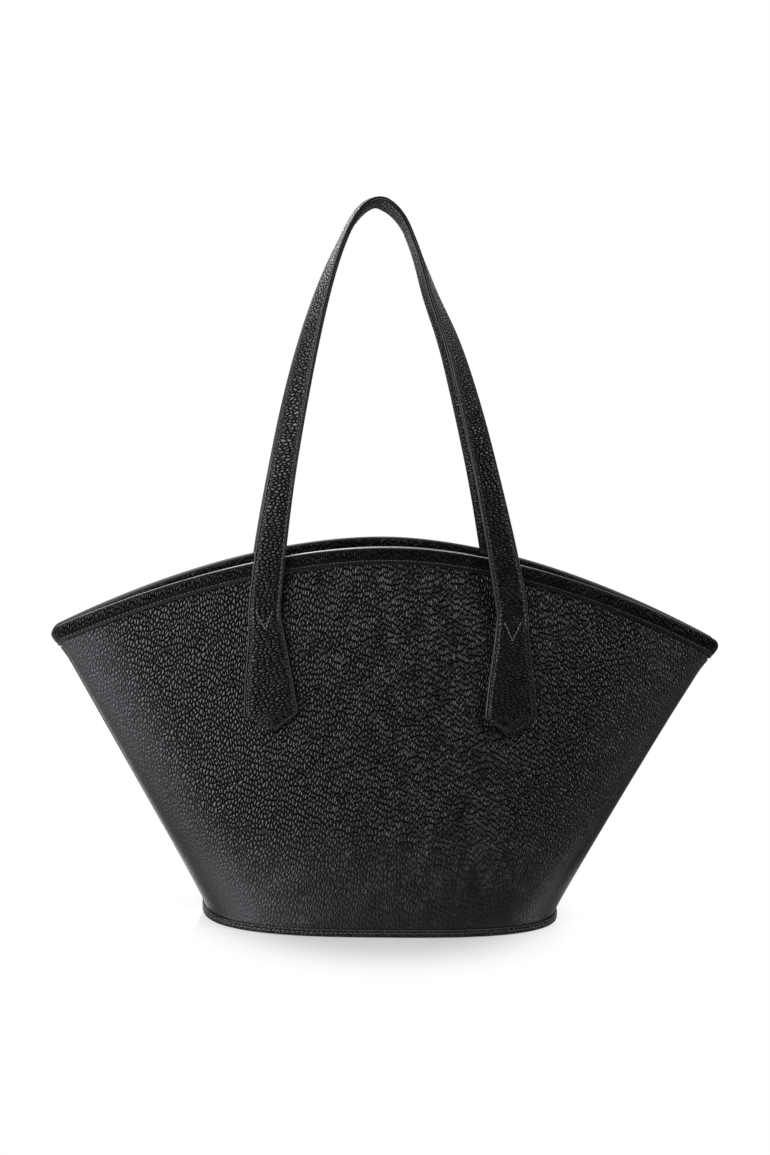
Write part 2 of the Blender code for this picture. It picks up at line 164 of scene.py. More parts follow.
# How far inside the wall's outer face the two grooves of the rim band lie
RIM_GROOVES = (-0.00095, 0.00415)
STRAP_STITCH_PITCH = 0.0033
LIP_STITCH_PITCH = 0.0034
LIP_STITCH_HEIGHT = 0.003
LIP_GROOVE = -0.00112
V_STITCH_PITCH = 0.0031
V_HALF_WIDTH = 0.006
V_HEIGHT = 0.013
V_DROPS = (0.0015, 0.006)
V_STEPS = 12
# Columns of the section tables
FLATNESS, PAINT = 2, 3

MM = 0.001

# Fineness of the meshes
WALL_COLUMNS = 150
WALL_ROWS = 70
# The rows of a wall lie closer towards the foot, which bends
ROW_CROWD_POWER = 1.25
FOOT_POINTS = 168
PIPING_STEPS = 40
PIPING_SIDES = 10
SNAP_SIDES = 48
STRAP_STATIONS = 260
TAB_ROWS = 46
PATH_SAMPLES = 900
SEARCH_STEPS = 40
MERGE_DISTANCE = 0.000005

random.seed(7)


def mix(low, high, share):
    return low + (high - low) * share


def smooth_step(low, high, value):
    share = min(1.0, max(0.0, (value - low) / (high - low)))
    return share * share * (3 - 2 * share)


def evenly(first, last, count):
    return [mix(first, last, i / count) for i in range(count + 1)]


def walk(points):
    """How far along a line each of its points lies."""
    walked = [0.0]
    for here, there in zip(points, points[1:]):
        walked.append(walked[-1] + (there - here).length)
    return walked


def rim_height(x):
    """Height of the rim above the floor, which falls from the middle to both side seams."""
    crown = ARCH_CROWN_SHARE
    share = x / (RIM_LENGTH / 2)
    fall = math.hypot(share, crown) ** ARCH_POWER - crown**ARCH_POWER
    full = math.hypot(1.0, crown) ** ARCH_POWER - crown**ARCH_POWER
    return mix(RIM_HEIGHT, RIM_END_HEIGHT, fall / full)


def level_at_height(turn, height):
    return height / rim_height(math.sin(math.pi / 2 * turn) * RIM_LENGTH / 2)


def reach_at(turn, level):
    """How far the wall has gone from the base outline to the rim's, with a soft bend above the foot."""
    foot = level_at_height(turn, FOOT_HEIGHT)
    soft = level_at_height(turn, FOOT_SOFTNESS)
    past = level - foot
    return (math.hypot(past, soft) + past) / (math.hypot(1 - foot, soft) + 1 - foot)


def superellipse(share, power):
    return (1 - min(1.0, abs(share)) ** power) ** (1 / power)


def round_end(from_tip, radius):
    """A quarter circle of that radius at the tip of the outline, then 1."""
    if from_tip >= radius:
        return 1.0
    return math.sqrt(max(0.0, 1 - (1 - from_tip / radius) ** 2))


def sag(x, z):
    """How far the soft wall has sunk in at this place."""
    total = 0.0
    for middle_x, middle_z, width, height, depth in SOFT_SPOTS:
        total += depth * math.exp(-(((x - middle_x) / width) ** 2) - ((z - middle_z) / height) ** 2)
    return total


def wall_point(turn, level, side, inset=0.0):
    """A point of the wall, this far inside the leather's outer face.

    turn runs from -1 to 1 between the side seams, level from 0 at the floor to 1 at the rim.
    """
    share = math.sin(math.pi / 2 * turn)
    reach = reach_at(turn, level)
    half_length = mix(BASE_LENGTH, RIM_LENGTH, reach) / 2 - inset
    from_tip = half_length * (1 - abs(share))
    pinch = PINCH_DEPTH / 2 - inset
    base_depth = (BASE_DEPTH / 2 - inset) * superellipse(share, BASE_POWER)
    mouth_depth = (MOUTH_DEPTH - PINCH_DEPTH) / 2 * (1 - share * share)
    mouth_depth += pinch * round_end(from_tip, pinch)
    x = share * half_length
    z = level * rim_height(share * RIM_LENGTH / 2)
    if from_tip < RIM_CORNER_RADIUS:
        rounded = 1 - math.sqrt(1 - (1 - from_tip / RIM_CORNER_RADIUS) ** 2)
        z -= RIM_CORNER_RADIUS * rounded * smooth_step(RIM_CORNER_SHARE, 1.0, level)
    depth = mix(base_depth, mouth_depth, reach) + SIDE_SEAM_GAP / 2 - sag(x, z) * (1 - share**4)
    return Vector((x, side * depth, z))


def level_below_rim(turn, drop):
    """The level that lies drop below the rim, measured along the wall."""
    slant = (wall_point(turn, 1.0, FRONT) - wall_point(turn, 0.0, FRONT)).length
    return 1 - drop / slant


def wall_at(x, z, side, inset=0.0):
    """The point of the wall that lies at this x and this height."""
    turn = 0.0
    for _ in range(SEARCH_STEPS):
        half_length = mix(BASE_LENGTH, RIM_LENGTH, reach_at(turn, level_at_height(turn, z))) / 2 - inset
        turn = math.asin(max(-1.0, min(1.0, x / half_length))) / (math.pi / 2)
    return wall_point(turn, level_at_height(turn, z), side, inset)


def root_middle(side):
    return HANDLE_ROOT_OFFSET + (BACK_HANDLE_OFFSET if side == BACK else 0.0)


def strap_root(side, hand):
    """How a strap stands on the wall at the hinge line: its middle's depth, and its turn in plan."""
    half = STRAP_ROOT_WIDTH / 2
    middle_x = root_middle(side) + hand * HANDLE_HALF_WIDTH
    inner, middle, outer = (
        abs(wall_at(middle_x + hand * across, HANDLE_HINGE_HEIGHT, side).y) for across in (-half, 0.0, half)
    )
    turn = math.atan2(inner - outer, STRAP_ROOT_WIDTH)
    bulge = middle - (inner + outer) / 2
    depth = (inner + outer) / 2 + (bulge + STRAP_SEAT_GAP + STRAP_THICKNESS / 2) / math.cos(turn)
    return depth, turn


def handle_stations(side):
    """Stations along a handle: its middle, the way across it, the way its face looks, and half its width."""
    roots = {hand: strap_root(side, hand) for hand in (LEFT, RIGHT)}
    apex = Vector((HANDLE_APEX_OFFSET, (HANDLE_APEX_GAP + STRAP_WIDTH) / 2, HANDLE_ARCH_HEIGHT))
    fine = []
    for i in range(PATH_SAMPLES + 1):
        angle = math.pi * i / PATH_SAMPLES
        hand = LEFT if 2 * i < PATH_SAMPLES else RIGHT
        rise = math.sin(angle) ** (1 / ARCH_RISE_POWER)
        spread = HANDLE_HALF_WIDTH * max(0.0, 1 - rise**ARCH_RISE_POWER) ** ARCH_SPREAD_POWER
        across = mix(root_middle(side), apex.x, rise) + hand * spread
        if hand == RIGHT:
            for bow, middle, span in RIGHT_LEG_BOWS:
                across += bow * math.exp(-(((rise - middle) / span) ** 2))
        depth = mix(roots[hand][0], apex.y, rise)
        height = HANDLE_HINGE_HEIGHT + HINGE_GAP / 2 + rise * apex.z
        fine.append(Vector((across, side * depth, height)))
    walked = walk(fine)
    stations = []
    i = 0
    for goal in evenly(0.0, walked[-1], STRAP_STATIONS):
        while i < len(fine) - 2 and walked[i + 1] < goal:
            i += 1
        part = (goal - walked[i]) / (walked[i + 1] - walked[i])
        way_on = (fine[i + 1] - fine[i]).normalized()
        if goal in (0.0, walked[-1]):
            way_on = Vector((0.0, 0.0, math.copysign(1.0, way_on.z)))
        core = fine[i].lerp(fine[i + 1], part)
        from_root = 1 - abs(2 * goal / walked[-1] - 1)
        outwards = Vector((0.0, side, 0.0))
        outwards = (outwards - way_on * way_on.dot(outwards)).normalized()
        inwards = way_on.cross(outwards) * -side
        root_turn = roots[RIGHT if core.x > HANDLE_APEX_OFFSET else LEFT][1]
        turn = mix(root_turn, math.radians(APEX_TURN_DEGREES), from_root**TWIST_POWER)
        wide = inwards * math.cos(turn) + outwards * math.sin(turn)
        face = outwards * math.cos(turn) - inwards * math.sin(turn)
        half = mix(STRAP_ROOT_WIDTH, STRAP_WIDTH, smooth_step(0.0, TAPER_END_SHARE, from_root)) / 2
        stations.append((core, wide, face, half))
    return stations


def tab_half_width(share):
    """Half the tab's width at this share of its length below the hinge: a soft flare, then a point."""
    if share >= TAB_CORNER_SHARE:
        return mix(TAB_WIDTH, TAB_TIP_WIDTH, (share - TAB_CORNER_SHARE) / (1 - TAB_CORNER_SHARE)) / 2
    along = share / TAB_CORNER_SHARE
    flare = along * along * (3 - 2 * along) * TAB_FLARE + along * (1 - TAB_FLARE)
    return mix(STRAP_ROOT_WIDTH, TAB_WIDTH, flare) / 2


# Meshes


def developed(points):
    """How far each point of a grid lies along it, from the middle row on, and round it, on the surface."""
    along, around = len(points) - 1, len(points[0]) - 1
    us = [[0.0] * (around + 1) for _ in points]
    vs = [[0.0] * (around + 1) for _ in points]
    for j in range(around + 1):
        for i in range(along):
            us[i + 1][j] = us[i][j] + (points[i + 1][j] - points[i][j]).length
        middle = us[along // 2][j]
        for i in range(along + 1):
            us[i][j] -= middle
    for i in range(along + 1):
        for j in range(around):
            vs[i][j + 1] = vs[i][j] + (points[i][j + 1] - points[i][j]).length
    return us, vs


def bend_grid(shape, along, around, place, paints=None, flatness=None, is_ring=False):
    """Adds a grid that is bent so that its second side runs round a section.

    place(i, j) is where step i along it and step j round it lie, and paints the material of each step round
    it. flatness(i, j) is how flat the grain is pulled there, from 0 to 1. The hide attribute holds each
    corner's place on the surface, for a grain that follows it. The grid starts as a square from -0.5 to 0.5.
    """
    flat = shape.verts.layers.float.get("stretch") or shape.verts.layers.float.new("stretch")
    hide = shape.loops.layers.float_vector.get("hide") or shape.loops.layers.float_vector.new("hide")
    verts = bmesh.ops.create_grid(shape, x_segments=along, y_segments=around, size=0.5)["verts"]
    points = [
        [place(i % along if is_ring else i, j % around) for j in range(around + 1)] for i in range(along + 1)
    ]
    us, vs = developed(points) if flatness else (None, None)
    for face in {face for vert in verts for face in vert.link_faces}:
        face.smooth = True
        if paints:
            face.material_index = paints[int((face.calc_center_median().y + 0.5) * around)]
        if flatness:
            for corner in face.loops:
                i, j = round((corner.vert.co.x + 0.5) * along), round((corner.vert.co.y + 0.5) * around)
                corner[hide] = (us[i][j], vs[i][j], 0.0)
    for vert in verts:
        i, j = round((vert.co.x + 0.5) * along), round((vert.co.y + 0.5) * around)
        if flatness:
            vert[flat] = flatness(i, j % around)
        vert.co = points[i][j]


def sleeve(name, along, around, place, paints=None, flatness=None, is_ring=False):
    """A closed skin bent from one grid."""
    shape = bmesh.new()
    bend_grid(shape, along, around, place, paints, flatness, is_ring)
    return close_up(name, shape)


def close_up(name, shape):
    """Merges the seams of bent grids and fills their open ends."""
    bmesh.ops.remove_doubles(shape, verts=shape.verts, dist=MERGE_DISTANCE)
    open_edges = [edge for edge in shape.edges if edge.is_boundary]
    if open_edges:
        caps = bmesh.ops.holes_fill(shape, edges=open_edges, sides=0)["faces"]
        bmesh.ops.triangulate(shape, faces=caps)
    bmesh.ops.recalc_face_normals(shape, faces=shape.faces)
    return to_object(name, shape)


def to_object(name, shape):
    mesh = bpy.data.meshes.new(name)
    shape.to_mesh(mesh)
    shape.free()
    obj = bpy.data.objects.new(name, mesh)
    bpy.context.scene.collection.objects.link(obj)
    return obj


def finish_piece(obj, materials, slot, body, *nodes):
    """Gives a piece its materials, the body it rides on and the solids it stands for. slot, the record's
    slot, is not used.
    """
    for material in materials:
        obj.data.materials.append(material)
    if nodes:
        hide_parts(*nodes)
    if body:
        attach(obj, body)
    return obj


def stitches(name, seams, pitch, material, body=None):
    """Thread along the seams, each a list of (place, outward direction) pairs.

    Each seam is one cord that dips into the leather between two stitches and leans a little on top.
    """
    shape = bmesh.new()
    for seam in seams:
        walked = walk([point for point, _ in seam])
        count = max(2, round(walked[-1] / pitch))
        rings = []
        i = 0
        for k in range(count):
            wobble = random.uniform(-STITCH_WOBBLE, STITCH_WOBBLE)
            for phase, lift, girth in STITCH_SHAPE:
                goal = walked[-1] * (k + phase) / count
                while i < len(seam) - 2 and walked[i + 1] < goal:
                    i += 1
                part = (goal - walked[i]) / max(walked[i + 1] - walked[i], MERGE_DISTANCE)
                out = seam[i][1].lerp(seam[i + 1][1], part).normalized()
                across = out.cross(seam[i + 1][0] - seam[i][0]).normalized()
                aside = pitch * (STITCH_LEAN * (2 * phase - 1) + wobble) if phase else 0.0
                middle = seam[i][0].lerp(seam[i + 1][0], part)
                middle = middle + across * aside + out * lift * STITCH_RADIUS
                rings.append((middle, across * girth * STITCH_RADIUS, out * girth * STITCH_RADIUS))

        def place(i, j):
            middle, across, out = rings[i]
            angle = 2 * math.pi * j / STITCH_SIDES
            return middle + across * math.cos(angle) + out * math.sin(angle)

        bend_grid(shape, len(rings) - 1, STITCH_SIDES, place)
    return finish_piece(close_up(name, shape), [material], "smooth_leather", body)


# Materials


def colour(code):
    """A colour's sRGB hex code as linear light, with full alpha."""
    parts = [int(code[i : i + 2], 16) / 255 for i in (0, 2, 4)]
    return (*[c / 12.92 if c <= 0.04045 else ((c + 0.055) / 1.055) ** 2.4 for c in parts], 1.0)


def feed(tree, node, inputs):
    """inputs maps a socket's name or number to its value, or to the output that feeds it."""
    for key, value in inputs.items():
        if isinstance(value, bpy.types.NodeSocket):
            tree.links.new(value, node.inputs[key])
        else:
            node.inputs[key].default_value = value


def add_node(tree, kind, inputs=None, take=0, **settings):
    """Adds a shader node, feeds it and returns the output to take from it."""
    node = tree.nodes.new("ShaderNode" + kind)
    for key, value in settings.items():
        setattr(node, key, value)
    feed(tree, node, inputs or {})
    return node.outputs[take]


def maths(tree, operation, *values):
    return add_node(tree, "Math", dict(enumerate(values)), operation=operation)


def remap(tree, value, start, end, low=0.0, high=1.0, soft=False):
    """Maps the range from start to end onto that from low to high, with soft ends or not."""
    inputs = {"Value": value, "From Min": start, "From Max": end, "To Min": low, "To Max": high}
    return add_node(tree, "MapRange", inputs, interpolation_type="SMOOTHSTEP" if soft else "LINEAR")


def new_material(name):
    material = bpy.data.materials.new(name)
    material.use_nodes = True
    return material, material.node_tree, material.node_tree.nodes["Principled BSDF"]


# Grain: how far the pebbles lean, their width to their height, and their disorder. Then waves in the hide,
# fine wrinkles and pores to one pebble, and how many pebbles a wave pushes them along and up
GRAIN_LEAN = math.radians(15)
PEBBLE_WIDTH_TO_HEIGHT = 0.54
PEBBLE_DISORDER = 0.95
WAVES, WRINKLES, PORES = 0.09, 2.3, 3.0
WAVE_PUSH = (3.6, 1.6)
# Heights as shares of a pebble's: a crease's shoulder, a wrinkle, a pore, and a pebble on pulled hide
SHOULDER_HEIGHT, WRINKLE_HEIGHT, PORE_HEIGHT, PULLED_HEIGHT = 0.30, 0.09, 0.04, 0.22
# How much of a pebble's top shows on pulled hide, and how much rougher a crease is than a top
PULLED_TOP, CREASE_ROUGHER = 0.8, 0.3


def milled_leather(name, cell, relief, base, crease, gloss, top_shine=0.5):
    """Calf leather tumbled until its grain breaks into soft pebbles, then sprayed with a satin coat.

    The eye sees small domes that each catch the light, parted by dull creases that go almost black: their
    dark colour and missing shine are painted shade.
    cell is a pebble's width and relief the depth of a crease, both in metres.
    """
    material, tree, shader = new_material(name)
    places = add_node(tree, "TexCoord", take="Object")
    hide = add_node(tree, "Attribute", take="Vector", attribute_name="hide")
    # The pebbles lean one way here and another way there, as the hide was stretched
    wander = add_node(tree, "TexNoise", {"Vector": hide, "Scale": WAVES / cell, "Detail": 1.0}, "Color")
    pushed = add_node(tree, "VectorMath", {0: wander, 1: (0.5, 0.5, 0.5)}, operation="SUBTRACT")
    push = (WAVE_PUSH[0] * cell, WAVE_PUSH[1] * cell, 0.0)
    pushed = add_node(tree, "VectorMath", {0: pushed, 1: push, 2: hide}, operation="MULTIPLY_ADD")
    size = (1.0, PEBBLE_WIDTH_TO_HEIGHT, 1.0)
    cells = add_node(tree, "Mapping", {"Vector": pushed, "Rotation": (0.0, 0.0, GRAIN_LEAN), "Scale": size})
    pattern = {"Vector": cells, "Scale": 1 / cell, "Randomness": PEBBLE_DISORDER}
    edges = {"feature": "DISTANCE_TO_EDGE", "voronoi_dimensions": "2D"}
    border = add_node(tree, "TexVoronoi", pattern, **edges)
    wrinkle = add_node(tree, "TexVoronoi", {"Vector": cells, "Scale": WRINKLES / cell}, **edges)
    pores = add_node(tree, "TexNoise", {"Vector": hide, "Scale": PORES / cell, "Detail": 1.0})
    dome = remap(tree, border, 0.0, 0.45, soft=True)
    # No two pebbles stand equally high
    pebble = add_node(tree, "TexVoronoi", pattern, "Color", voronoi_dimensions="2D")
    pebble = remap(tree, pebble, 0.2, 0.8, 0.75, 1.25)
    dome = maths(tree, "MULTIPLY", dome, pebble)
    shoulder = remap(tree, border, 0.0, 0.20, 0.0, SHOULDER_HEIGHT, soft=True)
    plateau = remap(tree, border, 0.05, 0.32)
    folds = remap(tree, wrinkle, 0.0, 0.30, 0.0, WRINKLE_HEIGHT, soft=True)
    height = maths(tree, "ADD", dome, shoulder)
    height = maths(tree, "ADD", height, folds)
    height = maths(tree, "MULTIPLY_ADD", pores, PORE_HEIGHT, height)
    # Where the hide is pulled round a seam the grain is flatter, which the stretch attribute says
    stretch = add_node(tree, "Attribute", take="Fac", attribute_name="stretch")
    plateau = add_node(tree, "Mix", {"Factor": stretch, 2: plateau, 3: PULLED_TOP}, clamp_factor=True)
    hills = add_node(tree, "TexNoise", {"Vector": places, "Scale": WAVES / cell, "Detail": 1.0})
    strength = remap(tree, stretch, 0.0, 1.0, 1.0, PULLED_HEIGHT)
    uneven = remap(tree, hills, 0.3, 0.7, 0.95, 1.08)
    strength = maths(tree, "MULTIPLY", strength, uneven)
    height = maths(tree, "MULTIPLY", height, strength)
    bump = add_node(tree, "Bump", {"Height": height, "Distance": relief})
    # Painted shade: the creases take the darker crease colour
    tint = add_node(tree, "Mix", {"Factor": plateau, 6: colour(crease), 7: colour(base)}, 2, data_type="RGBA")
    sheen = remap(tree, plateau, 0.0, 1.0, gloss + CREASE_ROUGHER, gloss)
    # Painted shade: a crease gets no shine, as light hardly gets in and out of it. The dye gives the shine a
    # trace of violet
    shine = remap(tree, plateau, 0.0, 1.0, 0.0, top_shine)
    feed(tree, shader, {
        "Base Color": tint, "Roughness": sheen, "Normal": bump, "IOR": 1.5,
        "Specular IOR Level": shine, "Specular Tint": colour("f9f6ff"),
    })
    return material


def plain_finish(name, code, roughness, depth, width, metallic=0.0, shine=0.5):
    """A smooth finish with fine unevenness of this depth and width, both in metres."""
    material, tree, shader = new_material(name)
    places = add_node(tree, "TexCoord", take="Object")
    noise = add_node(tree, "TexNoise", {"Vector": places, "Scale": 1 / width, "Detail": 2.0})
    rough = remap(tree, noise, 0.0, 1.0, roughness * 0.8, roughness * 1.2)
    bump = add_node(tree, "Bump", {"Height": noise, "Distance": depth})
    feed(tree, shader, {
        "Base Color": colour(code), "Roughness": rough, "Normal": bump, "Metallic": metallic,
        "Specular IOR Level": shine,
    })
    return material


def twill_fabric(name, light, dark, thread):
    """Cotton twill lining: fine diagonal ribs a thread wide, matt, with a faint sheen on the ribs."""
    material, tree, shader = new_material(name)
    places = add_node(tree, "TexCoord", take="Object")
    ribs = add_node(tree, "Mapping", {"Vector": places, "Rotation": (0.0, math.radians(60), 0.0)})
    # The real ribs are 0.4 mm apart. They are drawn 1.2 mm apart, so that they show
    scale = 1 / (thread * 2 * math.pi)
    wave = add_node(tree, "TexWave", {"Vector": ribs, "Scale": scale, "Distortion": 0.6}, "Fac")
    # Painted shade: the furrows between the ribs take the darker colour, the rib tops the lighter
    tint = add_node(tree, "Mix", {"Factor": wave, 6: colour(dark), 7: colour(light)}, 2, data_type="RGBA")
    bump = add_node(tree, "Bump", {"Height": wave, "Distance": 0.00015})
    feed(tree, shader, {"Base Color": tint, "Normal": bump, "Roughness": 0.85, "Sheen Weight": 0.15})
    return material


# The walls' calf leather, whose pebbles are about 2 mm wide: black domes with a satin shine
body_leather = milled_leather("black_milled_calf_leather", 0.0021, 0.00033, "040405", "010101", 0.27)
# The same hide, a little finer and duller, as straps are cut where it is firm
strap_leather = milled_leather("black_milled_strap_leather", 0.0020, 0.00030, "050506", "010101", 0.30, 0.42)
# Split thinner and pressed flat where it is folded over the rim, and drawn darker and with less shine than
# the walls
band_leather = milled_leather("black_folded_band_leather", 0.0019, 0.00019, "030304", "010101", 0.32, 0.20)
# The front band where it is stretched over the rim: smooth and glossy, and a little lighter than the band, as
# a painted highlight along its top
fold_painted_highlight = plain_finish("black_fold_painted_highlight", "0a0a0c", 0.22, 0.00003, 0.0010, shine=0.8)
# Cut edges, painted and rubbed down: smooth and black, with little shine
edge_paint = plain_finish("black_edge_paint", "08080a", 0.38, 0.00004, 0.0012, shine=0.3)
# Skived leather rolled round a cord: too thin and tight to show its grain
piping_leather = plain_finish("black_rolled_piping", "131315", 0.35, 0.00005, 0.0009)
# Bonded polyester thread: round, tight and smooth, so each stitch carries one small highlight
thread = plain_finish("black_bonded_thread", "0f0f11", 0.26, 0.00003, 0.0006, shine=0.7)
# The tabs carry the load and are sewn with thread drawn lighter than it is so that it shows: its grey is
# painted highlight for the glints on the stitches
tab_thread_painted_highlight = plain_finish("black_tab_thread_painted_highlight", "4c4c50", 0.35, 0.00004, 0.0006)
# Leather pressed hard along a row of stitches by the sewing foot: a dull line, drawn dark as painted shade in
# the groove. The back rim's fold takes it too, as painted shade
painted_shade_leather = plain_finish("dull_leather_painted_shade", "030304", 0.55, 0.00004, 0.0009, shine=0.15)
# Grey fibre board that stiffens the walls and the base: dull, with short fibres
board = plain_finish("grey_fibre_board", "6f6b64", 0.9, 0.0001, 0.0008)
# Die cast zinc, plated in gunmetal and tumbled: dark and softly bright
gunmetal = plain_finish("gunmetal_plated_zinc", "5a5a5e", 0.3, 0.00001, 0.0004, metallic=1.0)
# Cotton twill, which swallows most of the light that falls into the bag
lining_twill = twill_fabric("black_cotton_twill", "232227", "111114", 0.0012)
# The materials of a sewn strip: its leather, its painted edge and its stitch line, drawn dark as painted
# shade
sewn_leather = (strap_leather, edge_paint, painted_shade_leather)
# The front rim band adds its fold, drawn glossy and lighter as a painted highlight
sewn_band = (band_leather, edge_paint, painted_shade_leather, fold_painted_highlight)


# The body


def wall_layer(name, node, side, inset, thickness, bottom, material, slot):
    """One sheet of a wall, from seam to seam and from this height up to the rim binding's fold."""
    around = 2 * (WALL_ROWS + 1)
    turns = evenly(-1.0, 1.0, WALL_COLUMNS)
    rows = []
    for turn in turns:
        low, high = level_at_height(turn, bottom), level_below_rim(turn, WALL_TOP_DROP)
        levels = [mix(low, high, share**ROW_CROWD_POWER) for share in evenly(0.0, 1.0, WALL_ROWS)]
        outside = [wall_point(turn, level, side, inset) for level in levels]
        inside = [wall_point(turn, level, side, inset + thickness) for level in reversed(levels)]
        rows.append(outside + inside)
    obj = sleeve(
        name, WALL_COLUMNS, around, lambda i, j: rows[i][j], flatness=lambda i, j: pull_at(rows[i][j]),
    )
    finish_piece(obj, [material], slot, "bag", node)


def pull_at(point):
    """How flat the wall's grain is pulled: most along the side seams, and some at the foot."""
    seam = BASE_LENGTH / 2 + (RIM_LENGTH - BASE_LENGTH) / 2 * point.z / RIM_END_HEIGHT
    reach = SEAM_PULL_REACH[LEFT if point.x < 0 else RIGHT]
    near_seam = SEAM_PULL * (1 - smooth_step(0.0, reach, seam - abs(point.x)))
    near_foot = FOOT_PULL * (1 - smooth_step(0.0, FOOT_PULL_REACH, point.z))
    return min(1.0, near_seam + near_foot)


# Section of the rim binding: how far inside the wall's outer face, how far below the rim (both in
# millimetres), how flat the grain is, and the material of the step to the next point
BINDING_SECTION = (
    (-0.35, 12.00, 1.0, 1), (-0.95, 12.05, 1.0, 1), (-1.38, 11.75, 1.0, 1), (-1.62, 11.10, 0.8, 0),
    (-1.62, 10.40, 0.8, 0), (-1.30, 9.85, 1.0, 2), (-0.85, 9.35, 1.0, 2), (-1.25, 8.85, 1.0, 0),
    (-1.62, 8.15, 0.5, 0), (-1.72, 6.50, 0.0, 0), (-1.72, 4.20, 0.0, 0), (-1.66, 2.20, 0.1, 0),
    (-1.50, 1.05, 0.6, 0), (-1.12, 0.40, 1.0, 0), (-0.55, 0.08, 1.0, 0), (1.60, -0.02, 1.0, 0),
    (3.65, 0.08, 1.0, 0), (4.22, 0.40, 1.0, 0), (4.60, 1.05, 0.6, 0), (4.74, 2.20, 0.1, 0),
    (4.80, 4.20, 0.0, 0), (4.82, 6.50, 0.0, 0), (4.74, 8.15, 0.5, 0), (4.42, 8.85, 1.0, 2),
    (4.05, 9.35, 1.0, 2), (4.45, 9.85, 1.0, 0), (4.74, 10.40, 0.9, 0), (4.74, 11.10, 0.9, 1),
    (4.45, 11.75, 1.0, 1), (3.60, 12.00, 1.0, 1), (3.50, 11.00, 1.0, 0), (3.50, 1.35, 1.0, 0),
    (-0.30, 1.35, 1.0, 0), (-0.30, 11.00, 1.0, 0),
)
# Section of the turned lip round the foot: how far inside the wall's face, height, flatness and material
LIP_SECTION = (
    (-0.30, 0.35, 1.0, 0), (-0.80, 0.02, 1.0, 0), (-1.20, 0.35, 0.9, 0), (-1.45, 1.10, 0.2, 0),
    (-1.45, 2.00, 0.2, 0), (-1.25, 2.55, 1.0, 2), (-0.95, 3.00, 1.0, 2), (-1.25, 3.45, 0.9, 0),
    (-1.45, 4.00, 0.2, 0), (-1.38, 4.75, 0.5, 0), (-1.05, 5.20, 1.0, 0), (-0.55, 5.25, 1.0, 0),
    (-0.30, 4.90, 1.0, 0),
)
# Half the section of a handle's outer layer, from its edge to its middle: distance from the edge in
# millimetres, height above its underside as a share of the thickness, flatness and material
STRAP_STEPS = (
    (0.00, 0.05, 1.0, 1), (-0.05, 0.35, 1.0, 1), (-0.02, 0.70, 1.0, 1), (0.20, 0.95, 1.0, 1),
    (0.60, 1.05, 0.5, 0), (1.20, 1.06, 0.4, 0), (1.45, 0.98, 0.6, 2), (2.05, 0.78, 0.8, 2),
    (2.60, 0.98, 0.5, 0), (3.05, 1.10, 0.3, 0), (4.30, 1.17, 0.0, 0), (7.50, 1.22, 0.0, 0),
)
STRAP_TOP = STRAP_STEPS[-1][1]
# The backing is not padded as high. Its thread leaves this many stations free at both ends
BACKING_TOP = 1.1
BACKING_SEAM_START = 3
# The steps of the rim binding that lie higher than this, in millimetres below the rim, are its fold
FOLD_DROP = 0.5


def rim_binding(side, word):
    """The strip folded over a wall's rim, with its two rows of thread."""
    turns = evenly(-1.0, 1.0, WALL_COLUMNS)
    section = [(inset * MM, drop * MM) for inset, drop, *_ in BINDING_SECTION]

    def place(i, j):
        inset, drop = section[j]
        return wall_point(turns[i], level_below_rim(turns[i], drop), side, inset)

    def flatness(i, j):
        return max(BINDING_SECTION[j][FLATNESS], smooth_step(BAND_SMOOTH_FROM, BAND_SMOOTH_TO, abs(turns[i])))

    # The front fold takes a painted highlight along its top, the back one the dull material of painted shade
    leathers, fold = (sewn_band, 3) if side == FRONT else (sewn_leather, 2)
    paints = [fold if step[1] < FOLD_DROP else step[PAINT] for step in BINDING_SECTION]
    obj = sleeve(f"{word}_rim_binding_leather", WALL_COLUMNS, len(section), place, paints, flatness)
    finish_piece(obj, leathers, "pebbled_leather", "bag", f"{word}_rim_binding")
    seams = []
    for inset in RIM_GROOVES:
        seam = []
        out = Vector((0.0, side * math.copysign(1.0, -inset), 0.0))
        for turn in evenly(-RIM_STITCH_END, RIM_STITCH_END, WALL_COLUMNS * 2):
            point = wall_point(turn, level_below_rim(turn, RIM_STITCH_DROP), side, inset)
            seam.append((point, out))
        seams.append(seam)
    stitches(f"{word}_rim_stitches", seams, RIM_STITCH_PITCH, thread, "bag")


def base_outline(inset):
    """Points round the foot, this far inside the leather's outer face."""
    front = [wall_point(turn, 0.0, FRONT, inset) for turn in evenly(-1.0, 1.0, FOOT_POINTS // 2)]
    back = [wall_point(turn, 0.0, BACK, inset) for turn in evenly(1.0, -1.0, FOOT_POINTS // 2)]
    return front[:-1] + back[:-1]


def base_lip():
    """The turned lip round the foot, with its thread."""
    rings = [base_outline(inset * MM) for inset, *_ in LIP_SECTION]

    def flatness(i, j):
        return LIP_SECTION[j][FLATNESS]

    def place(i, j):
        return Vector((rings[j][i].x, rings[j][i].y, LIP_SECTION[j][1] * MM))

    paints = [step[PAINT] for step in LIP_SECTION]
    obj = sleeve("base_lip_leather", FOOT_POINTS, len(rings), place, paints, flatness, is_ring=True)
    finish_piece(obj, sewn_leather, "pebbled_leather", "bag", "base_binding")
    seam = []
    groove = base_outline(LIP_GROOVE)
    for point in groove + groove[:1]:
        out = Vector((point.x / BASE_LENGTH**2, point.y / BASE_DEPTH**2, 0.0)).normalized()
        seam.append((Vector((point.x, point.y, LIP_STITCH_HEIGHT)), out))
    stitches("base_lip_stitches", [seam], LIP_STITCH_PITCH, thread, "bag")


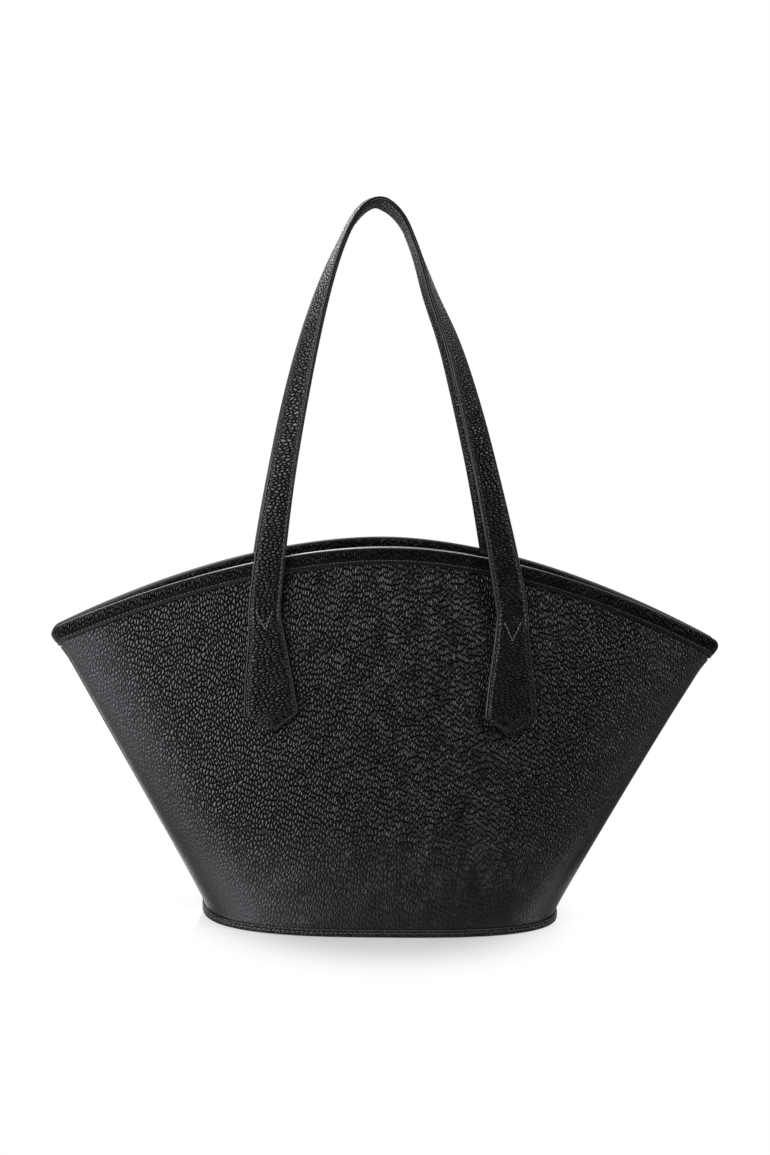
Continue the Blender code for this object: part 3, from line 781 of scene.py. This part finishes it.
def base_plate(name, inset, bottom, thickness, material, slot, node):
    """A flat oval sheet with softened edges."""
    outline = base_outline(inset)
    shape = bmesh.new()
    ring = bmesh.ops.create_circle(shape, cap_ends=True, segments=len(outline), radius=1.0)["verts"]
    for vert, point in zip(ring, outline):
        vert.co = (point.x, point.y, bottom)
    top = bmesh.ops.extrude_face_region(shape, geom=shape.faces[:])["geom"]
    raised = [item for item in top if isinstance(item, bmesh.types.BMVert)]
    bmesh.ops.translate(shape, verts=raised, vec=(0.0, 0.0, thickness))
    bmesh.ops.recalc_face_normals(shape, faces=shape.faces)
    rims = [edge for edge in shape.edges if edge.calc_face_angle(0.0) > math.radians(60)]
    soft = thickness * 0.3
    bmesh.ops.bevel(shape, geom=rims, offset=soft, segments=2, profile=0.5, affect="EDGES", material=-1)
    hide = shape.loops.layers.float_vector.new("hide")
    for face in shape.faces:
        for corner in face.loops:
            corner[hide] = corner.vert.co
    finish_piece(to_object(name, shape), [material], slot, "bag", node)


def side_piping(hand, word):
    """The rolled cord that closes a side seam."""
    slant = math.atan2((RIM_LENGTH - BASE_LENGTH) / 2, RIM_END_HEIGHT - FOOT_HEIGHT)
    clear = PIPING_RADIUS * PIPING_OVERHANG / math.cos(slant)
    low = level_at_height(hand, PIPING_FOOT_HEIGHT)
    high = level_below_rim(hand, BINDING_WIDTH + LAYER_GAP + PIPING_RADIUS)
    middles = [wall_point(hand, level, FRONT, -clear) for level in evenly(low, high, PIPING_STEPS)]

    def place(i, j):
        angle = 2 * math.pi * j / PIPING_SIDES
        out = Vector((hand * math.cos(slant), 0.0, -math.sin(slant))) * math.cos(angle)
        across = Vector((0.0, math.sin(angle), 0.0))
        middle = Vector((middles[i].x, 0.0, middles[i].z))
        return middle + (out + across) * PIPING_RADIUS

    obj = sleeve(f"{word}_side_piping_cord", PIPING_STEPS, PIPING_SIDES, place)
    finish_piece(obj, [piping_leather], "smooth_leather", "bag", f"{word}_side_piping")


def build_body():
    """The walls, their binding and piping, and the base. The base board keeps its solid."""
    board_bottom = BASE_LEATHER_THICKNESS + LAYER_GAP
    cloth_bottom = board_bottom + BASE_BOARD_THICKNESS + LAYER_GAP
    lining_bottom = cloth_bottom + BASE_LINING_THICKNESS + LAYER_GAP
    layers = (
        ("leather", "panel", 0.0, LEATHER_THICKNESS, PANEL_FLOOR_GAP, body_leather, "pebbled_leather"),
        ("board", "stiffener", STIFFENER_INSET, STIFFENER_THICKNESS, board_bottom, board, "fibre_board"),
        ("lining", "lining", LINING_INSET, LINING_THICKNESS, lining_bottom, lining_twill, "twill_lining"),
    )
    for side, word in ((FRONT, "front"), (BACK, "back")):
        for layer, node, *sheet in layers:
            wall_layer(f"{word}_wall_{layer}", f"{word}_{node}", side, *sheet)
        rim_binding(side, word)
    board_inset = STIFFENER_INSET + STIFFENER_THICKNESS + BASE_EDGE_GAP
    base_plate(
        "base_leather", LEATHER_THICKNESS + BASE_EDGE_GAP, 0.0, BASE_LEATHER_THICKNESS,
        body_leather, "pebbled_leather", "base_panel",
    )
    base_plate(
        "base_cloth", board_inset, cloth_bottom, BASE_LINING_THICKNESS,
        lining_twill, "twill_lining", "base_lining",
    )
    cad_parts["base_board"].data.materials.clear()
    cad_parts["base_board"].data.materials.append(board)
    base_lip()
    side_piping(LEFT, "left")
    side_piping(RIGHT, "right")


# The handles


def mirrored(half, slant=1.0):
    """Both halves of a handle's section, as (across, height) pairs that run from edge to edge.

    Near a tab's tip the strip is too narrow for its steps, so they close up towards its middle.
    """
    near = []
    for k, (from_edge, height, *_) in enumerate(STRAP_STEPS):
        near.append((min(from_edge * MM * slant, half * (0.4 + 0.05 * k)) - half, height))
    return near + [(0.0, STRAP_TOP + 0.01)] + [(-across, height) for across, height in reversed(near)]


def mirrored_marks(column, middle, under):
    """The marks in a column of the steps, in the mirrored section's order, then those of the underside."""
    marks = [step[column] for step in STRAP_STEPS]
    back = list(reversed(marks if column == FLATNESS else marks[:-1]))
    return marks + [middle] + back + under


def tab_placer(side, hand, share, stations):
    """Returns a function that puts (across, height) of a tab's row on the wall."""
    top = root_middle(side) + hand * HANDLE_HALF_WIDTH
    foot = hand * TAB_FOOT_HALF_WIDTH
    tilt = math.atan2(foot - top, TAB_LENGTH) * smooth_step(0.0, TAB_SQUARE_SHARE, share)
    below = share * TAB_LENGTH
    to_strap = 1 - smooth_step(0.0, TAB_RISE_LENGTH, below)
    gap = mix(LAYER_GAP, STRAP_SEAT_GAP + STRAP_LAYER_THICKNESS + LAYER_GAP, to_strap)
    thick = mix(TAB_THICKNESS, STRAP_LAYER_THICKNESS, to_strap)
    core, wide, face, _ = stations[0 if hand == LEFT else -1]

    def place(across, height):
        # The middle of a tab is padded, so it stands above the sewn margin
        height *= 1 + TAB_PADDING * (1 - to_strap) * smooth_step(1.0, 1.12, height)
        shift = -hand * across
        x = mix(top, foot, share) + shift * math.cos(tilt)
        z = HANDLE_HINGE_HEIGHT - below + shift * math.sin(tilt)
        on_wall = wall_at(x, z, side, -gap - height * thick)
        on_strap = core + wide * across + face * (height * thick + OUTER_LAYER_START)
        on_strap.z = z
        return on_wall.lerp(on_strap, to_strap)

    return place


def strap_placer(station):
    """The same for a row of the strap."""
    core, wide, face, _ = station

    def place(across, height):
        return core + wide * across + face * (OUTER_LAYER_START + height * STRAP_LAYER_THICKNESS)

    return place


def handle_rows(side, stations):
    """Rows of one handle's outer layer, from the left tab's tip over the top to the right tab's tip.

    Each is its placer, half its width, and how much its edge slants.
    """
    slope = (TAB_WIDTH - TAB_TIP_WIDTH) / 2 / ((1 - TAB_CORNER_SHARE) * TAB_LENGTH)
    shares = evenly(0.0, TAB_CORNER_SHARE, TAB_ROWS) + evenly(TAB_CORNER_SHARE, 1.0, TAB_ROWS // 2)[1:]
    left, right = [], []
    for hand, rows in ((LEFT, left), (RIGHT, right)):
        for share in shares:
            slant = math.hypot(1.0, slope) if share >= TAB_CORNER_SHARE else 1.0
            rows.append((tab_placer(side, hand, share, stations), tab_half_width(share), slant))
    middle = [(strap_placer(station), station[3], 1.0) for station in stations]
    return left[::-1] + middle + right


def handle(side, word):
    """One handle: its outer leather with both tabs, its threads and its backing."""
    stations = handle_stations(side)
    rows = handle_rows(side, stations)
    sections = [
        mirrored(half, slant) + [(half / 2, 0.0), (0.0, 0.0), (-half / 2, 0.0)] for _, half, slant in rows
    ]
    paints = mirrored_marks(PAINT, 0, [1, 0, 0, 1])
    flats = mirrored_marks(FLATNESS, 0.0, [1.0, 1.0, 1.0])
    obj = sleeve(
        f"{word}_handle_leather", len(rows) - 1, len(flats), lambda i, j: rows[i][0](*sections[i][j]),
        paints, lambda i, j: flats[j],
    )
    finish_piece(
        obj, sewn_leather, "pebbled_leather", None,
        f"{word}_handle_strap", f"{word}_left_tab", f"{word}_right_tab",
    )
    hinge_y = rows[0][0](0.0, 0.0).y
    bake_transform(obj)

    def surface(place, across, height):
        return place(across, height), (place(across, height + 1) - place(across, height)).normalized()

    tab_end = (len(rows) - len(stations)) // 2
    stretches = (
        ("handle", rows[tab_end:-tab_end], thread), ("left_tab", rows[: tab_end + 1], tab_thread_painted_highlight),
        ("right_tab", rows[-tab_end - 1 :], tab_thread_painted_highlight),
    )
    for part, stretch, material in stretches:
        seams = []
        for sign in (-1, 1):
            inner = [(place, half - STITCH_EDGE * slant) for place, half, slant in stretch]
            wide_enough = [(place, across) for place, across in inner if across > STITCH_RADIUS]
            seams.append([surface(place, sign * across, STITCH_BED) for place, across in wide_enough])
        thread_piece = stitches(f"{word}_{part}_stitches", seams, STRAP_STITCH_PITCH, material)
        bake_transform(thread_piece)

    # A sewn V takes the load off the tab's mouth
    seams = []
    for hand, low in ((LEFT, V_DROPS[0]), (RIGHT, V_DROPS[1])):
        seam = []
        for step in evenly(-1.0, 1.0, 2 * V_STEPS):
            below = low + V_HEIGHT * (1 - abs(step))
            place = tab_placer(side, hand, below / TAB_LENGTH, stations)
            seam.append(surface(place, step * V_HALF_WIDTH, STRAP_TOP + 0.02))
        seams.append(seam)
    thread_piece = stitches(f"{word}_reinforcing_stitches", seams, V_STITCH_PITCH, tab_thread_painted_highlight)
    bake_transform(thread_piece)
    handle_backing(word, stations)


def handle_backing(word, stations):
    """The inner layer of a handle, with its own row of thread along both edges."""
    sections = [mirrored(half) + [(0.0, 0.0)] for *_, half in stations]
    paints = mirrored_marks(PAINT, 0, [1, 1])
    flats = mirrored_marks(FLATNESS, 0.3, [1.0])

    def place(i, j):
        core, wide, face, _ = stations[i]
        across, height = sections[i][j]
        height = min(height, BACKING_TOP)
        return core + wide * across - face * (BACKING_START + height * STRAP_LAYER_THICKNESS)

    obj = sleeve(
        f"{word}_handle_backing_leather", STRAP_STATIONS, len(flats), place, paints, lambda i, j: flats[j],
    )
    finish_piece(obj, sewn_leather, "pebbled_leather", f"{word}_handle", f"{word}_handle_backing")
    height = BACKING_START + STITCH_BED * STRAP_LAYER_THICKNESS
    seams = []
    for sign in (-1, 1):
        seam = []
        for core, wide, face, half in stations[BACKING_SEAM_START:-BACKING_SEAM_START]:
            seam.append((core + wide * sign * (half - STITCH_EDGE) - face * height, -face))
        seams.append(seam)
    stitches(f"{word}_handle_backing_stitches", seams, STRAP_STITCH_PITCH, thread, f"{word}_handle")


# The magnetic snap


def snap_half(name, side, profile, node):
    """A round plate turned from its profile, standing square on the lining."""
    height = RIM_HEIGHT - SNAP_DROP
    seat = wall_at(0.0, height, side, LINING_INSET + LINING_THICKNESS)
    above = wall_at(0.0, height + SNAP_RADIUS, side, LINING_INSET + LINING_THICKNESS)
    up = (above - seat).normalized()
    inwards = Vector((0.0, -side * up.z, side * up.y))
    turn = Matrix((up.cross(inwards), up, inwards)).transposed().to_4x4()
    shape = bmesh.new()
    verts = [shape.verts.new((radius * MM, 0.0, rise * MM)) for radius, rise in profile]
    edges = [shape.edges.new(pair) for pair in zip(verts, verts[1:])]
    bmesh.ops.spin(
        shape, geom=verts + edges, cent=(0, 0, 0), axis=(0, 0, 1), angle=2 * math.pi, steps=SNAP_SIDES,
        use_merge=True,
    )
    bmesh.ops.remove_doubles(shape, verts=shape.verts, dist=MERGE_DISTANCE)
    bmesh.ops.recalc_face_normals(shape, faces=shape.faces)
    place = Matrix.Translation(seat + inwards * LAYER_GAP) @ turn
    bmesh.ops.transform(shape, matrix=place, verts=shape.verts)
    for face in shape.faces:
        face.smooth = True
    obj = to_object(name, shape)
    obj.data.set_sharp_from_angle(angle=math.radians(50))
    finish_piece(obj, [gunmetal], "gunmetal", "bag", node)


def build_snap():
    """Both halves, which have the same rim, as (radius, height above the lining) in millimetres."""
    rim = ((7.6, 2.1), (8.4, 1.9), (8.85, 1.4), (9.0, 0.8), (9.0, 0.0), (0.0, 0.0))
    well = ((0.0, 0.8), (2.9, 0.8), (3.1, 1.0), (3.1, 2.0), (3.3, 2.25), (4.2, 2.35), (4.5, 2.2))
    stud = ((0.0, 5.0), (1.7, 4.95), (2.3, 4.7), (2.6, 4.2), (2.6, 2.5), (3.0, 2.3))
    snap_half("snap_socket_plate", FRONT, well + rim, "snap_socket")
    snap_half("snap_stud_plate", BACK, stud + rim, "snap_stud")


# Floor, light and camera


def build_floor():
    """White acrylic sheet: a pale, glossy floor round the foot, which fades to pure white away from the bag.

    Its gloss is drawn stronger than acrylic has, so that the bag's mirror image shows as in the photo.
    """
    shape = bmesh.new()
    bmesh.ops.create_circle(shape, cap_ends=True, segments=96, radius=8.0)
    floor = to_object("floor", shape)
    material, tree, shader = new_material("white_acrylic_sheet")
    floor.data.materials.append(material)
    places = add_node(tree, "TexCoord", take="Object")
    # How far from the bag, where 1 is the edge of an oval of FLOOR_HALF_SIZE
    half_length, half_depth = FLOOR_HALF_SIZE
    scale = (1 / half_length, 1 / half_depth, 1.0)
    oval = add_node(tree, "Mapping", {"Vector": places, "Location": (0.03, 0.0, 0.0), "Scale": scale})
    away = add_node(tree, "VectorMath", {0: oval}, "Value", operation="LENGTH")
    far = remap(tree, away, 0.48, 0.98, soft=True)
    # Beyond the oval the sheet is dark, so that it doesn't lighten the leather. On the left it stays pale
    beyond = remap(tree, away, 1.0, 1.4, soft=True)
    aside = add_node(tree, "SeparateXYZ", {0: places}, "X")
    right = remap(tree, aside, -0.45, -0.05)
    beyond = maths(tree, "MULTIPLY", beyond, right)
    pale, dark = colour("c8c8c8"), colour("2c2c2c")
    tint = add_node(tree, "Mix", {"Factor": beyond, 6: pale, 7: dark}, 2, data_type="RGBA")
    feed(tree, shader, {"Base Color": tint, "Roughness": 0.07, "IOR": 1.9})
    path = tree.nodes.new("ShaderNodeLightPath").outputs
    mirror = maths(tree, "ADD", path["Is Glossy Ray"], path["Is Transmission Ray"])
    # The camera sees it white away from the bag. The leather mirrors only a faint glow of that
    glow = remap(tree, away, 2.0, 3.4, 0.06, 0.12)
    seen = maths(tree, "MULTIPLY_ADD", mirror, glow, path["Is Camera Ray"])
    seen = maths(tree, "MULTIPLY", far, seen)
    white = add_node(tree, "Emission", {"Color": (1, 1, 1, 1), "Strength": 1.0})
    mixed = add_node(tree, "MixShader", {"Fac": seen, 1: shader.outputs[0], 2: white})
    feed(tree, tree.nodes["Material Output"], {"Surface": mixed})


def build_world():
    """A room that is white to the camera, white above and behind to gloss, and dim to all else."""
    world = bpy.data.worlds.new("white_studio")
    bpy.context.scene.world = world
    world.use_nodes = True
    tree = world.node_tree
    path = tree.nodes.new("ShaderNodeLightPath").outputs
    way = add_node(tree, "TexCoord", take="Generated")
    way = add_node(tree, "SeparateXYZ", {0: way}).node.outputs
    ceiling = remap(tree, way["Z"], 0.50, 1.0, soft=True)
    backdrop = remap(tree, way["Y"], 0.02, 0.50, soft=True)
    white = maths(tree, "MAXIMUM", ceiling, backdrop)
    mirror = maths(tree, "MAXIMUM", path["Is Glossy Ray"], path["Is Transmission Ray"])
    mirror = maths(tree, "MULTIPLY", mirror, white)
    seen = maths(tree, "MAXIMUM", path["Is Camera Ray"], mirror)
    strength = remap(tree, seen, 0.0, 1.0, 0.015)
    feed(tree, tree.nodes["Background"], {"Color": (1, 1, 1, 1), "Strength": strength})


def softbox(name, place, target, width, height, power):
    """A lamp of this width and height in metres and this power in watts, turned to the target."""
    lamp = bpy.data.lights.new(name, "AREA")
    lamp.shape = "RECTANGLE"
    lamp.size = width
    lamp.size_y = height
    lamp.energy = power
    obj = bpy.data.objects.new(name, lamp)
    obj.location = place
    obj.rotation_euler = (Vector(target) - Vector(place)).to_track_quat("-Z", "Y").to_euler()
    obj.visible_camera = False
    bpy.context.scene.collection.objects.link(obj)


def build_lights():
    softbox("front_softbox", (-0.63, -0.99, 0.46), (-0.1, 0.0, 0.3), 1.15, 0.88, 4.3)
    softbox("left_softbox", (-1.11, -0.54, 0.48), (-0.1, 0.0, 0.3), 1.20, 0.90, 28)
    softbox("right_softbox", (1.30, -0.40, 0.50), (0.1, 0.0, 0.2), 0.35, 0.8, 9)
    softbox("top_softbox", (0.0, 0.3, 1.9), (0.0, 0.0, 0.2), 1.6, 1.2, 60)
    softbox("back_softbox", (-0.6, 1.8, 1.1), (0.0, 0.0, 0.2), 1.4, 0.9, 16)


def build_camera():
    """The photo's camera, pitched down by four degrees, with the rest of its framing as a small shift."""
    data = bpy.data.cameras.new("photo_camera")
    data.lens = 65.4
    data.sensor_width = 36.0
    data.sensor_fit = "AUTO"
    data.shift_y = -0.1467
    camera = bpy.data.objects.new("photo_camera", data)
    bpy.context.scene.collection.objects.link(camera)
    yaw, pitch, roll = math.radians(-5.202), math.radians(4.0), math.radians(2.069)
    turn = Matrix.Rotation(yaw, 3, "Z") @ Matrix.Rotation(math.pi / 2 - pitch, 3, "X")
    turn = turn @ Matrix.Rotation(roll, 3, "Z")
    camera.matrix_world = Matrix.Translation((-0.1449, -1.4904, 0.4689)) @ turn.to_4x4()
    bpy.context.scene.camera = camera


build_body()
handle(FRONT, "front")
handle(BACK, "back")
build_snap()
build_floor()
build_world()
build_lights()
build_camera()
bpy.context.scene.view_settings.view_transform = "Standard"
